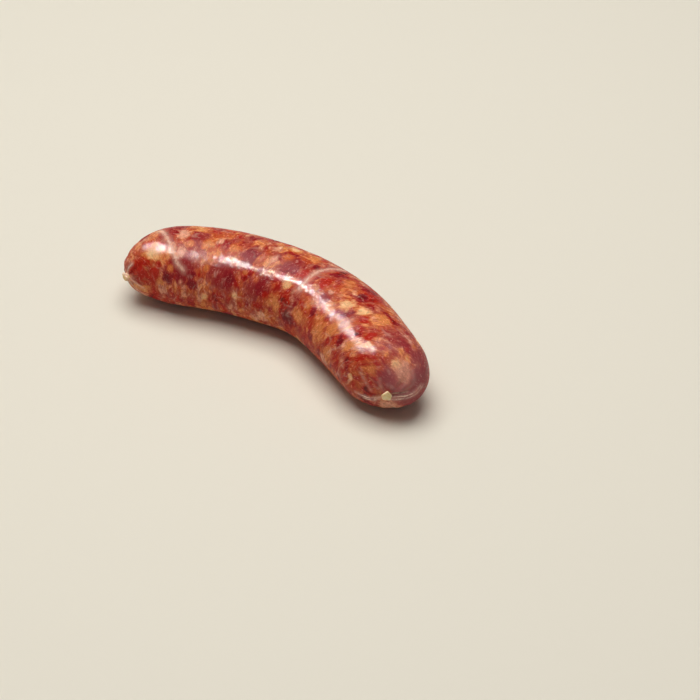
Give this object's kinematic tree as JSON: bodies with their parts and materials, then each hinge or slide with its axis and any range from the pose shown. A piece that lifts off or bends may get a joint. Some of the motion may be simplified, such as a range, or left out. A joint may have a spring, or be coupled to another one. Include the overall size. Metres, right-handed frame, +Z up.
{
  "type": "raw sausage link",
  "caption": "Raw coarse-ground sausage link in natural casing, gently curved, with gathered ends, a twisted nub at the left and a cut casing tag in a pinched crease at the right.",
  "frame": {"origin": "bottom centre of the link's box, at the height of the flat spot that it rests on", "axes": "+X along the chord from the left end with the nub to the right end with the tag, +Y towards the back of the bend, +Z up"},
  "size_m": [0.1404, 0.0496, 0.0329],
  "materials": {
    "raw_sausage": "moist translucent casing over coarse red meat with cream and orange fat"
  },
  "bodies": {
    "root": {"sausage_link": "raw_sausage"}
  },
  "joints": []
}
